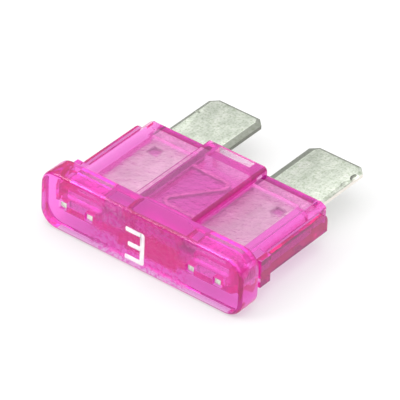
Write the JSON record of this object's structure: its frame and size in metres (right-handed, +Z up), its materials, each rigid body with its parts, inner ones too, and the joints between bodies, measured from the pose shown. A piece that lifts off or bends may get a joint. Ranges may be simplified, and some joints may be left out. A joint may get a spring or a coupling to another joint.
{
  "type": "automotive blade fuse",
  "caption": "Regular blade fuse with a clear magenta housing, flat metal blades for a fuse holder, test points in the head and an S-shaped link seen inside.",
  "frame": {"origin": "bottom centre of the whole fuse as it lies on a wide side: middle of its width, middle of its length, on the surface that the head rests on", "axes": "+X along the head's width, +Y from the head towards the blade tips, +Z up through the thickness"},
  "size_m": [0.019, 0.0186, 0.0051],
  "materials": {
    "clear_magenta_plastic": "clear, tinted magenta, polished mould faces",
    "bare_zinc_alloy": "bare rolled zinc alloy, dull silver with fine scratches",
    "white_print": "matt white print"
  },
  "bodies": {
    "root": {"housing": "clear_magenta_plastic", "fuse_element": "bare_zinc_alloy", "rating_digit": "white_print"}
  },
  "joints": []
}
